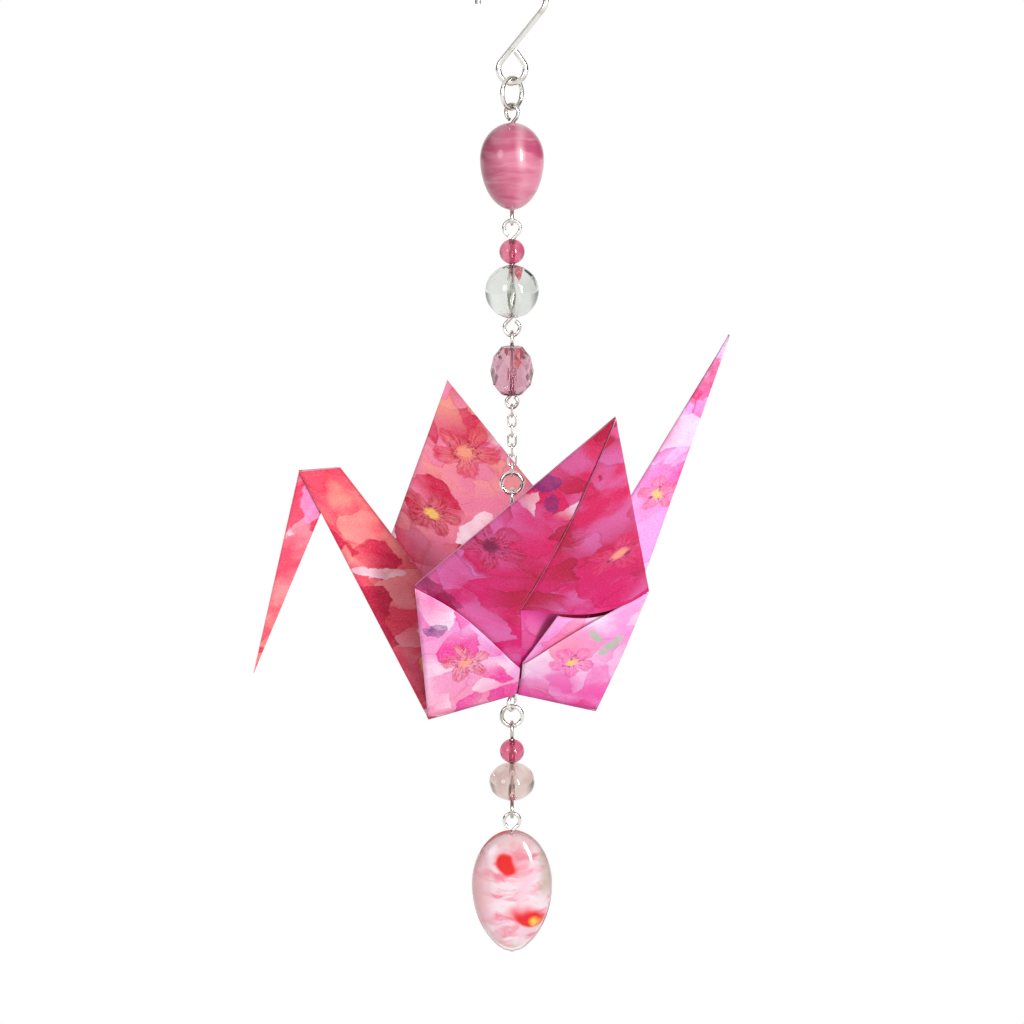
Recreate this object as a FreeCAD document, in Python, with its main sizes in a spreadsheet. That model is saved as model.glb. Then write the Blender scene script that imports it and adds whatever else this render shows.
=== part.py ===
import FreeCAD, Part, Sketcher
import math
import os

# A hanging ornament: a folded paper crane on a strand of glass beads.
# Everything hangs from a bent wire hook, one loop through the next.
# The origin is the point inside the hook's arch that rests on a nail.
# +Z is up, X runs along the hook's own plane, and -Y faces the viewer.

doc = FreeCAD.newDocument("crane_strand")
sizes = doc.addObject("Spreadsheet::Sheet", "Sizes")

DRIVING_SIZES = [
    # Bent wire hook
    ("hook_wire", 0.9),
    ("hook_arch_radius", 5.3),
    ("hook_bend_radius", 2.5),
    ("hook_tip_length", 0.6),
    ("hook_drop", 10.7),
    ("hook_eye_radius", 2.12),
    ("hook_end_angle", 36),
    ("hook_end_gap", 0.1),
    # Jump rings, outside diameters
    ("ring_wire", 0.7),
    ("top_ring_diameter", 5.5),
    ("middle_ring_diameter", 4.1),
    ("lower_ring_diameter", 4.1),
    ("ring_split_angle", 6),
    ("ring_split_at", 300),
    ("top_ring_turn", 50),
    # Fine cable chain
    ("link_wire", 0.36),
    ("link_width", 1.62),
    ("link_length", 2.38),
    ("link_count", 7),
    # Wire pins with a loop turned at each end, outside diameters of the loops
    ("pin_wire", 0.6),
    ("loop_split_angle", 12),
    ("top_loop_split_at", 235),
    ("bottom_loop_split_at", 55),
    ("drop_pin_top_loop", 3.1),
    ("drop_pin_bottom_loop", 2.5),
    ("upper_pin_top_loop", 3.2),
    ("upper_pin_bottom_loop", 3.05),
    ("faceted_pin_top_loop", 2.7),
    ("faceted_pin_bottom_loop", 2.4),
    ("crane_pin_top_loop", 3.0),
    ("crane_pin_bottom_loop", 3.0),
    ("crane_pin_bottom_turn", 60),
    ("lower_pin_top_loop", 3.2),
    ("lower_pin_bottom_loop", 3.2),
    # Clearances
    ("hang_gap", 0.04),
    ("seat_gap", 0.05),
    ("bore_clearance", 0.08),
    ("bore_overrun", 1.0),
    # Glass beads
    ("drop_bead_width", 10.1),
    ("drop_bead_upper", 5.6),
    ("drop_bead_lower", 8.1),
    ("small_bead_width", 4.05),
    ("clear_bead_width", 8.55),
    ("faceted_bead_width", 7.0),
    ("faceted_bead_height", 7.7),
    ("faceted_bead_cap", 3.4),
    ("facet_ring_width", 6.5),
    ("facet_ring_rise", 2.15),
    ("facet_count", 8),
    ("rondelle_width", 7.5),
    ("rondelle_height", 6.35),
    # Leaf-shaped glass pendant
    ("leaf_width", 13.4),
    ("leaf_thickness", 6.2),
    ("leaf_height", 21.4),
    ("leaf_shoulder", 9.4),
    ("leaf_eye_loop", 3.2),
    ("leaf_eye_depth", 4.0),
    # Folded crane, from a square of paper
    ("sheet_side", 150),
    ("paper_layers", 0.34),
    ("crane_turn", 10.2),
    ("body_depth", 30.9),
    ("body_half_length", 14.0),
    ("body_corner_drop", 3.7),
    ("wing_root_half_width", 18.6),
    ("wing_root_tilt", 1.15),
    ("front_root_out", 17.9),
    ("front_root_up", 22.2),
    ("front_wing_raise", 42.0),
    ("front_tip_shift", 5.1),
    ("back_root_out", 20.7),
    ("back_root_up", 17.6),
    ("back_wing_raise", 30.2),
    ("back_tip_shift", -0.8),
    ("belly_bulge", 2.6),
    ("root_sag", 2.4),
    ("hump_saddle_reach", 11.5),
    ("hump_saddle_drop", 13.0),
    ("hump_eave_reach", 15.8),
    ("leg_opening", 0.9),
    ("neck_spine_reach", 28.8),
    ("neck_spine_rise", 40.1),
    ("neck_edge_reach", 35.3),
    ("neck_edge_rise", 39.9),
    ("neck_spine_lean", 8.3),
    ("neck_edge_lean", 9.1),
    ("beak_reach", 43.1),
    ("beak_rise", 8.2),
    ("beak_lean", 10.4),
    ("tail_reach", 37.7),
    ("tail_rise", 57.4),
    ("tail_lean", 6.7),
]

for row, (alias, number) in enumerate(DRIVING_SIZES, start=1):
    sizes.set(f"A{row}", alias)
    sizes.set(f"B{row}", str(number))
    sizes.setAlias(f"B{row}", alias)
doc.recompute()


def size(alias):
    return float(getattr(sizes, alias))


def bind(target, prop, formula):
    """Tie one size of an object to the sheet; each word of the formula in [] is an alias."""
    target.setExpression(prop, formula.replace("[", "Sizes.").replace("]", ""))


def turned(z, angle):
    """A placement at height z whose flat ring stands upright, its plane turned about Z."""
    upright = FreeCAD.Rotation(FreeCAD.Vector(1, 0, 0), 90)
    about_z = FreeCAD.Rotation(FreeCAD.Vector(0, 0, 1), angle)
    return FreeCAD.Placement(FreeCAD.Vector(0, 0, z), about_z * upright)


def add_torus(name, outer, wire, z, plane_angle, split, split_at=None):
    """An upright ring of round wire with a narrow split at an angle round from +X."""
    ring = doc.addObject("Part::Torus", name)
    bind(ring, "Radius1", f"([{outer}] - [{wire}]) / 2")
    bind(ring, "Radius2", f"[{wire}] / 2")
    bind(ring, "Angle3", f"360 - [{split}_angle]")
    start = size(split_at or f"{split}_at") + size(f"{split}_angle") / 2
    spin = FreeCAD.Rotation(FreeCAD.Vector(0, 0, 1), start)
    placement = turned(z, plane_angle)
    ring.Placement = FreeCAD.Placement(placement.Base, placement.Rotation * spin)
    return ring


def add_cylinder(name, radius_formula, bottom, top):
    rod = doc.addObject("Part::Cylinder", name)
    bind(rod, "Radius", radius_formula)
    rod.Height = top - bottom
    rod.Placement.Base = FreeCAD.Vector(0, 0, bottom)
    return rod


def fuse(label, pieces):
    joined = doc.addObject("Part::MultiFuse", label)
    joined.Shapes = pieces
    joined.Label = label
    return joined


def cut(label, base, tool):
    result = doc.addObject("Part::Cut", label)
    result.Base = base
    result.Tool = tool
    result.Label = label
    return result


# Heights. Each piece is lowered until its top wire lies on the wire it hangs from,
# so every height follows from the sizes above it on the strand.

def hung_centre(wire_bottom, parent_wire, own_wire, own_outer):
    """Centre of a loop whose top wire lies on a parent's lowest wire centre."""
    top_wire = wire_bottom + (parent_wire + own_wire) / 2 + size("hang_gap")
    return top_wire - (own_outer - own_wire) / 2


def lowest_wire(centre, outer, wire):
    return centre - (outer - wire) / 2


def stack_down(start, *heights):
    """Top and bottom of each bead below start, a seat gap before each."""
    places = []
    level = start
    for height in heights:
        top = level - size("seat_gap")
        level = top - height
        places.append((top, level))
    return places


HOOK_WIRE = size("hook_wire")
RING_WIRE = size("ring_wire")
LINK_WIRE = size("link_wire")
PIN_WIRE = size("pin_wire")

arch_centre = HOOK_WIRE / 2 - size("hook_arch_radius")
eye_centre = arch_centre - size("hook_drop")
hook_low = eye_centre - size("hook_eye_radius")

nodes = {}
hang_points = {}


# Hanging hook: one length of round wire, an open arch above and a closed eye below.

def make_hook():
    arch = size("hook_arch_radius")
    bend = size("hook_bend_radius")
    eye = size("hook_eye_radius")
    bend_centre = FreeCAD.Vector(arch - bend, arch_centre, 0)
    eye_middle = FreeCAD.Vector(0, eye_centre, 0)
    span = bend_centre.sub(eye_middle)
    slant = math.atan2(span.x, span.y) + math.asin((bend + eye) / span.Length)
    across = FreeCAD.Vector(math.cos(slant), -math.sin(slant), 0)

    def around(centre, radius, degrees):
        angle = math.radians(degrees)
        return centre + FreeCAD.Vector(math.cos(angle), math.sin(angle), 0) * radius

    slant_degrees = math.degrees(slant)
    end_angle = size("hook_end_angle")
    closing = math.radians(end_angle) + slant
    end_clear = HOOK_WIRE / 2 * (1 + math.cos(closing)) + size("hook_end_gap")
    end_run = (eye * (1 + math.cos(closing)) - end_clear) / math.sin(closing)
    end_way = FreeCAD.Vector(
        -math.sin(math.radians(end_angle)), math.cos(math.radians(end_angle)), 0
    )

    tip = FreeCAD.Vector(-arch, arch_centre - size("hook_tip_length"), 0)
    arch_start = FreeCAD.Vector(-arch, arch_centre, 0)
    arch_top = FreeCAD.Vector(0, arch_centre + arch, 0)
    arch_end = FreeCAD.Vector(arch, arch_centre, 0)
    bend_middle = around(bend_centre, bend, -slant_degrees / 2)
    shank_top = bend_centre + across * bend
    shank_bottom = eye_middle - across * eye
    eye_first = 180 - slant_degrees
    eye_last = 360 + end_angle
    eye_low = around(eye_middle, eye, (eye_first + eye_last) / 2)
    eye_end = around(eye_middle, eye, eye_last)
    free_end = eye_end + end_way * end_run

    body = doc.addObject("PartDesign::Body", "hanging_hook")
    planes = {plane.Role: plane for plane in body.Origin.OriginFeatures}
    spine = body.newObject("Sketcher::SketchObject", "hook_spine")
    spine.AttachmentSupport = [(planes["XZ_Plane"], "")]
    spine.MapMode = "FlatFace"
    spine.addGeometry([
        Part.LineSegment(tip, arch_start),
        Part.Arc(arch_start, arch_top, arch_end),
        Part.Arc(arch_end, bend_middle, shank_top),
        Part.LineSegment(shank_top, shank_bottom),
        Part.Arc(shank_bottom, eye_low, eye_end),
        Part.LineSegment(eye_end, free_end),
    ], False)
    profile = body.newObject("Sketcher::SketchObject", "hook_section")
    profile.AttachmentSupport = [(planes["XY_Plane"], "")]
    profile.MapMode = "FlatFace"
    profile.AttachmentOffset = FreeCAD.Placement(
        FreeCAD.Vector(tip.x, 0, tip.y), FreeCAD.Rotation()
    )
    profile.addGeometry(
        Part.Circle(FreeCAD.Vector(0, 0, 0), FreeCAD.Vector(0, 0, 1), HOOK_WIRE / 2), False
    )
    radius = profile.addConstraint(Sketcher.Constraint("Radius", 0, HOOK_WIRE / 2))
    bind(profile, f"Constraints[{radius}]", "[hook_wire] / 2")
    doc.recompute()
    pipe = body.newObject("PartDesign::AdditivePipe", "hook_pipe")
    pipe.Profile = profile
    pipe.Spine = (spine, [f"Edge{n}" for n in range(1, 7)])
    body.Tip = pipe
    body.Label = "hanging_hook"
    return body


nodes["hanging_hook"] = make_hook()


# Jump rings: round wire closed to a ring, the two cut ends almost meeting.

def make_ring(label, outer, centre, plane_angle):
    ring = add_torus(label, outer, "ring_wire", centre, plane_angle, "ring_split")
    ring.Label = label
    nodes[label] = ring
    return lowest_wire(centre, size(outer), RING_WIRE)


# Bead pins: straight wire with a loop turned at each end, which keeps the beads on.

def make_pin(label, top_loop, bottom_loop, top_centre, shaft_end, top_angle, bottom_angle):
    """Returns the centre of the bottom loop. shaft_end is where the bottom loop starts."""
    top_outer = size(top_loop)
    bottom_centre = shaft_end - size(bottom_loop) / 2
    neck = (top_outer - PIN_WIRE) / 2
    upper = add_torus(
        f"{label}_upper", top_loop, "pin_wire", top_centre, top_angle,
        "loop_split", "top_loop_split_at",
    )
    lower = add_torus(
        f"{label}_lower", bottom_loop, "pin_wire", bottom_centre, bottom_angle,
        "loop_split", "bottom_loop_split_at",
    )
    shaft_top = top_centre - neck
    shaft_bottom = shaft_end - PIN_WIRE / 2
    shaft = add_cylinder(f"{label}_shaft", "[pin_wire] / 2", shaft_bottom, shaft_top)
    nodes[label] = fuse(label, [upper, shaft, lower])
    return bottom_centre


# Round beads: pressed or lampwork glass with a drilled hole along the strand.

def bore(label, bottom, top):
    overrun = size("bore_overrun")
    return add_cylinder(
        f"{label}_bore", "[pin_wire] / 2 + [bore_clearance]", bottom - overrun, top + overrun
    )


def make_round_bead(label, width, top):
    centre = top - size(width) / 2
    ball = doc.addObject("Part::Sphere", f"{label}_ball")
    bind(ball, "Radius", f"[{width}] / 2")
    ball.Placement.Base = FreeCAD.Vector(0, 0, centre)
    nodes[label] = cut(label, ball, bore(label, top - size(width), top))


def half_ellipsoid(name, height, width, centre, upper):
    half = doc.addObject("Part::Ellipsoid", name)
    bind(half, "Radius1", height)
    bind(half, "Radius2", f"[{width}] / 2")
    bind(half, "Radius3", f"[{width}] / 2")
    half.Angle1 = 0 if upper else -90
    half.Angle2 = 90 if upper else 0
    half.Placement.Base = FreeCAD.Vector(0, 0, centre)
    return half


def make_egg_bead(label, width, upper_height, lower_height, upper_size, top, bottom):
    """A bead of two half ellipsoids that meet at its widest ring."""
    centre = top - upper_size
    shell = fuse(f"{label}_blank", [
        half_ellipsoid(f"{label}_upper", upper_height, width, centre, True),
        half_ellipsoid(f"{label}_lower", lower_height, width, centre, False),
    ])
    nodes[label] = cut(label, shell, bore(label, bottom, top))


# Faceted bead: fire-polished glass cut with flat triangles, rounded like a barrel.

def ring_points(radius, z, count, half_step):
    points = []
    for i in range(count):
        angle = 2 * math.pi * (i + half_step / 2) / count
        points.append(FreeCAD.Vector(radius * math.cos(angle), radius * math.sin(angle), z))
    return points


def flat_face(points):
    return Part.Face(Part.makePolygon(points + [points[0]]))


def make_faceted_bead(label, top):
    count = int(round(size("facet_count")))
    height = size("faceted_bead_height")
    half_width = size("faceted_bead_width") / 2
    cap = size("faceted_bead_cap") / 2
    ring = size("facet_ring_width") / 2
    rise = size("facet_ring_rise")
    centre = top - height / 2
    faces = []
    belt = ring_points(half_width, centre, count, 0)
    for side in (1, -1):
        end = ring_points(cap, centre + side * height / 2, count, 0)
        between = ring_points(ring, centre + side * rise, count, 1)
        faces.append(flat_face(end))
        for i in range(count):
            j = (i + 1) % count
            faces.append(flat_face([end[i], between[i], between[i - 1]]))
            faces.append(flat_face([end[i], end[j], between[i]]))
            faces.append(flat_face([belt[i], between[i - 1], between[i]]))
            faces.append(flat_face([belt[i], between[i], belt[j]]))
    solid = Part.makeSolid(Part.makeShell(faces))
    if solid.Volume < 0:
        solid.reverse()
    hole = Part.makeCylinder(
        PIN_WIRE / 2 + size("bore_clearance"), height + 2 * size("bore_overrun"),
        FreeCAD.Vector(0, 0, top - height - size("bore_overrun")),
    )
    bead = doc.addObject("Part::Feature", label)
    bead.Shape = solid.cut(hole)
    bead.Label = label
    nodes[label] = bead


# Chain links: oval rings of fine wire, each turned a quarter from the one above.

def make_link(label, centre, plane_angle):
    straight = size("link_length") - size("link_width")
    bend_radius = (size("link_width") - LINK_WIRE) / 2
    parts = []
    for side in (1, -1):
        bend = doc.addObject("Part::Torus", f"{label}_bend")
        bind(bend, "Radius1", "([link_width] - [link_wire]) / 2")
        bind(bend, "Radius2", "[link_wire] / 2")
        bend.Angle3 = 180
        spin = FreeCAD.Rotation(FreeCAD.Vector(0, 0, 1), 0 if side > 0 else 180)
        where = turned(centre + side * straight / 2, plane_angle)
        bend.Placement = FreeCAD.Placement(where.Base, where.Rotation * spin)
        leg = doc.addObject("Part::Cylinder", f"{label}_leg")
        bind(leg, "Radius", "[link_wire] / 2")
        bind(leg, "Height", "[link_length] - [link_width]")
        angle = math.radians(plane_angle)
        leg.Placement.Base = FreeCAD.Vector(
            side * bend_radius * math.cos(angle),
            side * bend_radius * math.sin(angle),
            centre - straight / 2,
        )
        parts += [bend, leg]
    nodes[label] = fuse(label, parts)
    return lowest_wire(centre, size("link_length"), LINK_WIRE)


# Leaf pendant: a flattened drop of cased glass, round above and pointed below,
# with the straight leg of a wire eye set in its top.

LEAF_TAPER = ((0.5, 0.8), (0.82, 0.44))  # way down from the widest point, share of its width


def make_leaf(top):
    width = size("leaf_width") / 2
    height = size("leaf_height")
    shoulder = size("leaf_shoulder")
    crown = math.sin(math.pi / 4)
    start = FreeCAD.Vector(0, 0, top)
    point = FreeCAD.Vector(0, 0, top - height)
    outline_points = [
        start,
        FreeCAD.Vector(width * crown, 0, top - shoulder * (1 - crown)),
        FreeCAD.Vector(width, 0, top - shoulder),
    ]
    for down, across in LEAF_TAPER:
        level = top - shoulder - (height - shoulder) * down
        outline_points.append(FreeCAD.Vector(width * across, 0, level))
    edge = Part.BSplineCurve()
    edge.interpolate(
        outline_points + [point],
        InitialTangent=FreeCAD.Vector(1, 0, 0),
        FinalTangent=FreeCAD.Vector(-1, 0, 0),
    )
    outline = Part.Wire([edge.toShape(), Part.makeLine(point, start)])
    turned_drop = Part.Face(outline).revolve(
        FreeCAD.Vector(0, 0, 0), FreeCAD.Vector(0, 0, 1), 360
    )
    flatten = FreeCAD.Matrix()
    flatten.A22 = size("leaf_thickness") / size("leaf_width")
    glass = turned_drop.transformGeometry(flatten)
    hole = Part.makeCylinder(
        PIN_WIRE / 2, size("leaf_eye_depth") + size("bore_overrun"),
        FreeCAD.Vector(0, 0, top - size("leaf_eye_depth")),
    )
    leaf = doc.addObject("Part::Feature", "leaf_pendant")
    leaf.Shape = glass.cut(hole)
    leaf.Label = "leaf_pendant"
    nodes["leaf_pendant"] = leaf


def make_leaf_eye(centre, plane_angle, leaf_top):
    loop = add_torus(
        "leaf_eye_ring", "leaf_eye_loop", "pin_wire", centre, plane_angle,
        "loop_split", "top_loop_split_at",
    )
    neck = lowest_wire(centre, size("leaf_eye_loop"), PIN_WIRE)
    leg = add_cylinder(
        "leaf_eye_leg", "[pin_wire] / 2", leaf_top - size("leaf_eye_depth"), neck
    )
    nodes["pendant_eye"] = fuse("pendant_eye", [loop, leg])


# Folded crane. The folds are those of the traditional crane on a square sheet.
# Along the body x runs from the neck (-) to the tail (+), y across it, z up,
# and the lowest point of the middle fold is the crane's own zero.

WING_LENGTH_SHARE = 0.3244  # of the sheet's side, from a wing's tip to its two corners
HUMP_EAVE_SHARE = 0.5  # of the way up the flank, where the hump's sides meet it
HUMP_LOW_SHARE = 0.25
TAIL_POINT_SHARE = 0.03  # of the tail's length, where its two sides have closed to one
FLANK_ROWS = ((0.0, 0.0), (0.3, 0.7), (0.65, 1.0))  # way up the flank, share of the bulge
EDGE_BULGE = 0.35  # share of the bulge that reaches the flank's ends
ROOT_BULGE = 0.3  # share of the bulge left at the wing's root


def corner_normals(points, facets):
    normals = [FreeCAD.Vector(0, 0, 0) for _ in points]
    for a, b, c in facets:
        facet = (points[b] - points[a]).cross(points[c] - points[a])
        facet.normalize()
        for corner in (a, b, c):
            normals[corner] = normals[corner] + facet
    for normal in normals:
        normal.normalize()
    return normals


def paper_plate(points, facets, thickness):
    """A closed plate of folded layers about a surface of triangles."""
    normals = corner_normals(points, facets)
    upper = [p + n * (thickness / 2) for p, n in zip(points, normals)]
    lower = [p - n * (thickness / 2) for p, n in zip(points, normals)]
    edges = {}
    for a, b, c in facets:
        for pair in ((a, b), (b, c), (c, a)):
            edges[pair] = True
    faces = []
    for a, b, c in facets:
        faces.append(flat_face([upper[a], upper[b], upper[c]]))
        faces.append(flat_face([lower[c], lower[b], lower[a]]))
    for a, b in edges:
        if (b, a) not in edges:
            faces.append(flat_face([upper[b], upper[a], lower[a]]))
            faces.append(flat_face([upper[b], lower[a], lower[b]]))
    plate = Part.makeSolid(Part.makeShell(faces))
    if plate.Volume < 0:
        plate.reverse()
    return plate


def side_of_crane(out_sign, root_out, root_up, raise_angle, tip_shift):
    """One flank of the body with its wing, from the bottom fold to the wing's tip."""
    half = size("body_half_length")
    drop = size("body_corner_drop")
    root = size("wing_root_half_width")
    tilt = size("wing_root_tilt")
    layers = size("paper_layers")
    bulge = size("belly_bulge")
    sag = size("root_sag")
    wing = size("sheet_side") * WING_LENGTH_SHARE
    raised = math.radians(raise_angle)
    bottom = out_sign * layers * 0.6
    tip = FreeCAD.Vector(
        tip_shift,
        out_sign * (root_out + wing * math.cos(raised)),
        root_up + wing * math.sin(raised),
    )
    outward = FreeCAD.Vector(0, out_sign * root_up, -root_out)
    outward.normalize()

    def flank(x, share, swell):
        """A point between the bottom fold and the wing root, pushed outward by swell."""
        low_x = x * half / root
        low_z = -drop * abs(x) / root
        root_z = root_up - tilt * x / root
        base = FreeCAD.Vector(
            low_x + (x - low_x) * share,
            bottom + (out_sign * root_out - bottom) * share,
            low_z + (root_z - low_z) * share,
        )
        return base + outward * swell

    points = []
    across = (-root, -root / 2, 0.0, root / 2, root)
    for share, swell in FLANK_ROWS:
        for x in across:
            fullness = 1 - (x / root) ** 2
            full = EDGE_BULGE + (1 - EDGE_BULGE) * fullness
            points.append(flank(x, share, bulge * swell * full))
    for x in across:
        fullness = 1 - (x / root) ** 2
        points.append(flank(x, 1.0 - sag * fullness / root_up, bulge * ROOT_BULGE * fullness))
    facets = []
    for level in range(len(FLANK_ROWS)):
        for column in range(len(across) - 1):
            a = level * len(across) + column
            c = a + len(across)
            facets.append((a, a + 1, c + 1))
            facets.append((a, c + 1, c))
    for a in range(len(points) - len(across), len(points) - 1):
        facets.append((a, a + 1, len(points)))
    points.append(tip)
    if out_sign > 0:
        facets = [(a, c, b) for a, b, c in facets]
    return paper_plate(points, facets, layers)


def leg_strip(spine_foot, spine_top, edge_foot, edge_top, opening):
    """A narrow leg of the base, folded along its spine with its two sides a little apart."""
    layers = size("paper_layers")
    plates = []
    for side in (1, -1):
        gap = FreeCAD.Vector(0, side * opening / 2, 0)
        points = [spine_foot, spine_top, edge_foot + gap, edge_top + gap * 0.7]
        facets = [(0, 1, 2), (1, 3, 2)]
        plates.append(paper_plate(points, facets, layers))
    return plates


def hump_of_crane(top):
    """The middle of the sheet: a tent between the wings, pierced by the pin at its peak."""
    layers = size("paper_layers")
    reach = size("hump_saddle_reach")
    eave = size("hump_eave_reach")
    saddle_z = top - size("hump_saddle_drop")
    points = [FreeCAD.Vector(0, 0, top - layers / 2)]
    rim = [FreeCAD.Vector(-reach, 0, saddle_z)]
    for out_sign, out, up in (
        (-1, size("front_root_out"), size("front_root_up")),
        (1, size("back_root_out"), size("back_root_up")),
    ):
        side = out_sign
        low = FreeCAD.Vector(0, out_sign * out * HUMP_LOW_SHARE, up * HUMP_LOW_SHARE)
        across = out_sign * out * HUMP_EAVE_SHARE
        rim.append(FreeCAD.Vector(side * eave, across, up * HUMP_EAVE_SHARE))
        rim.append(low)
        rim.append(FreeCAD.Vector(-side * eave, across, up * HUMP_EAVE_SHARE))
        rim.append(FreeCAD.Vector(-side * reach, 0, saddle_z))
    points += rim[:-1]
    around = len(points) - 1
    facets = [(0, 1 + n, 1 + (n + 1) % around) for n in range(around)]
    return paper_plate(points, facets, layers)


def make_crane(bottom_z, hump_z):
    half = size("body_half_length")
    drop = size("body_corner_drop")
    layers = size("paper_layers")
    opening = size("leg_opening")

    front = side_of_crane(
        -1, size("front_root_out"), size("front_root_up"),
        size("front_wing_raise"), size("front_tip_shift"),
    )
    back = side_of_crane(
        1, size("back_root_out"), size("back_root_up"),
        size("back_wing_raise"), size("back_tip_shift"),
    )

    foot = FreeCAD.Vector(0, 0, layers)
    neck_top = FreeCAD.Vector(
        -size("neck_spine_reach"), -size("neck_spine_lean"), size("neck_spine_rise")
    )
    neck_edge = FreeCAD.Vector(
        -size("neck_edge_reach"), -size("neck_edge_lean"), size("neck_edge_rise")
    )
    neck_corner = FreeCAD.Vector(-half, 0, -drop)
    beak = FreeCAD.Vector(-size("beak_reach"), -size("beak_lean"), size("beak_rise"))
    neck = leg_strip(foot, neck_top, neck_corner, neck_edge, opening)
    head = paper_plate([neck_edge, neck_top, beak], [(0, 1, 2)], layers * 1.5)

    tail_tip = FreeCAD.Vector(size("tail_reach"), size("tail_lean"), size("tail_rise"))
    tail_corner = FreeCAD.Vector(half, 0, -drop)
    near_edge = tail_tip + (tail_corner - tail_tip) * TAIL_POINT_SHARE
    near_spine = tail_tip + (foot - tail_tip) * TAIL_POINT_SHARE
    tail = leg_strip(foot, near_spine, tail_corner, near_edge, opening)
    tail_point = paper_plate([near_spine, tail_tip, near_edge], [(0, 1, 2)], layers)

    hump = hump_of_crane(hump_z - bottom_z)
    solid = front.fuse([back, *neck, head, *tail, tail_point, hump])
    margin = 2 * size("body_corner_drop")
    hole = Part.makeCylinder(
        PIN_WIRE / 2 + size("bore_clearance"), hump_z - bottom_z + 2 * margin,
        FreeCAD.Vector(0, 0, -margin),
    )
    solid = solid.cut(hole)
    crane = doc.addObject("Part::Feature", "folded_crane")
    crane.Shape = solid.Solids[0] if len(solid.Solids) == 1 else solid
    crane.Placement = FreeCAD.Placement(
        FreeCAD.Vector(0, 0, bottom_z),
        FreeCAD.Rotation(FreeCAD.Vector(0, 0, 1), size("crane_turn")),
    )
    crane.Label = "folded_crane"
    nodes["folded_crane"] = crane


# The strand from the hook down. A plane angle of 0 faces the viewer, 90 is edge-on.

FACE_ON = 0
EDGE_ON = 90


def record_hinge(child, wire_low, plane_angle):
    """The child swings about the parent's lowest wire, along the parent's plane."""
    hang_points[child] = (wire_low, plane_angle)


def hang_pin(label, top_loop, bottom_loop, parent, bead_heights, angles):
    """Places a pin under its parent wire. Returns its bead places and its own lowest wire."""
    parent_low, parent_wire, parent_angle = parent
    centre = hung_centre(parent_low, parent_wire, PIN_WIRE, size(top_loop))
    record_hinge(label, parent_low, parent_angle)
    beads = stack_down(centre - size(top_loop) / 2, *bead_heights)
    shaft_end = beads[-1][1] - size("seat_gap")
    bottom_centre = make_pin(
        label, top_loop, bottom_loop, centre, shaft_end, angles[0], angles[1]
    )
    low = lowest_wire(bottom_centre, size(bottom_loop), PIN_WIRE)
    return beads, (low, PIN_WIRE, angles[1])


def hang_ring(label, outer, parent, plane_angle):
    parent_low, parent_wire, parent_angle = parent
    centre = hung_centre(parent_low, parent_wire, RING_WIRE, size(outer))
    record_hinge(label, parent_low, parent_angle)
    low = make_ring(label, outer, centre, plane_angle)
    return (low, RING_WIRE, plane_angle)


below = (hook_low, HOOK_WIRE, FACE_ON)
top_turn = size("top_ring_turn")
below = hang_ring("top_jump_ring", "top_ring_diameter", below, top_turn)

drop_height = size("drop_bead_upper") + size("drop_bead_lower")
beads, below = hang_pin(
    "drop_bead_pin", "drop_pin_top_loop", "drop_pin_bottom_loop", below,
    [drop_height], (top_turn - 90, EDGE_ON),
)
make_egg_bead(
    "swirl_drop_bead", "drop_bead_width", "[drop_bead_upper]", "[drop_bead_lower]",
    size("drop_bead_upper"), *beads[0],
)

beads, below = hang_pin(
    "upper_bead_pin", "upper_pin_top_loop", "upper_pin_bottom_loop", below,
    [size("small_bead_width"), size("clear_bead_width")], (FACE_ON, FACE_ON),
)
make_round_bead("upper_round_bead", "small_bead_width", beads[0][0])
make_round_bead("clear_round_bead", "clear_bead_width", beads[1][0])

beads, below = hang_pin(
    "faceted_bead_pin", "faceted_pin_top_loop", "faceted_pin_bottom_loop", below,
    [size("faceted_bead_height")], (EDGE_ON, FACE_ON),
)
make_faceted_bead("faceted_bead", beads[0][0])

plane_angle = EDGE_ON
for number in range(1, int(round(size("link_count"))) + 1):
    label = f"chain_link_{number}"
    parent_low, parent_wire, parent_angle = below
    centre = hung_centre(parent_low, parent_wire, LINK_WIRE, size("link_length"))
    record_hinge(label, parent_low, parent_angle)
    below = (make_link(label, centre, plane_angle), LINK_WIRE, plane_angle)
    plane_angle = EDGE_ON - plane_angle

# The ring below the last link is a quarter turn from it, as all links are.
ring_angle = plane_angle
below = hang_ring("middle_jump_ring", "middle_ring_diameter", below, ring_angle)
pin_angle = EDGE_ON - ring_angle
beads, below = hang_pin(
    "crane_pin", "crane_pin_top_loop", "crane_pin_bottom_loop", below,
    [size("body_depth") + 2 * size("paper_layers")],
    (pin_angle, size("crane_pin_bottom_turn")),
)
make_crane(beads[0][1] + size("paper_layers"), beads[0][0])

below = hang_ring("lower_jump_ring", "lower_ring_diameter", below, ring_angle)
beads, below = hang_pin(
    "lower_bead_pin", "lower_pin_top_loop", "lower_pin_bottom_loop", below,
    [size("small_bead_width"), size("rondelle_height")], (pin_angle, pin_angle),
)
make_round_bead("lower_round_bead", "small_bead_width", beads[0][0])
make_egg_bead(
    "rondelle_bead", "rondelle_width", "[rondelle_height] / 2", "[rondelle_height] / 2",
    size("rondelle_height") / 2, *beads[1],
)

parent_low, parent_wire, parent_angle = below
eye_middle_z = hung_centre(parent_low, parent_wire, PIN_WIRE, size("leaf_eye_loop"))
record_hinge("pendant_eye", parent_low, parent_angle)
leaf_top = eye_middle_z - size("leaf_eye_loop") / 2 - size("seat_gap")
make_leaf_eye(eye_middle_z, ring_angle, leaf_top)
make_leaf(leaf_top)

doc.recompute()

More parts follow.
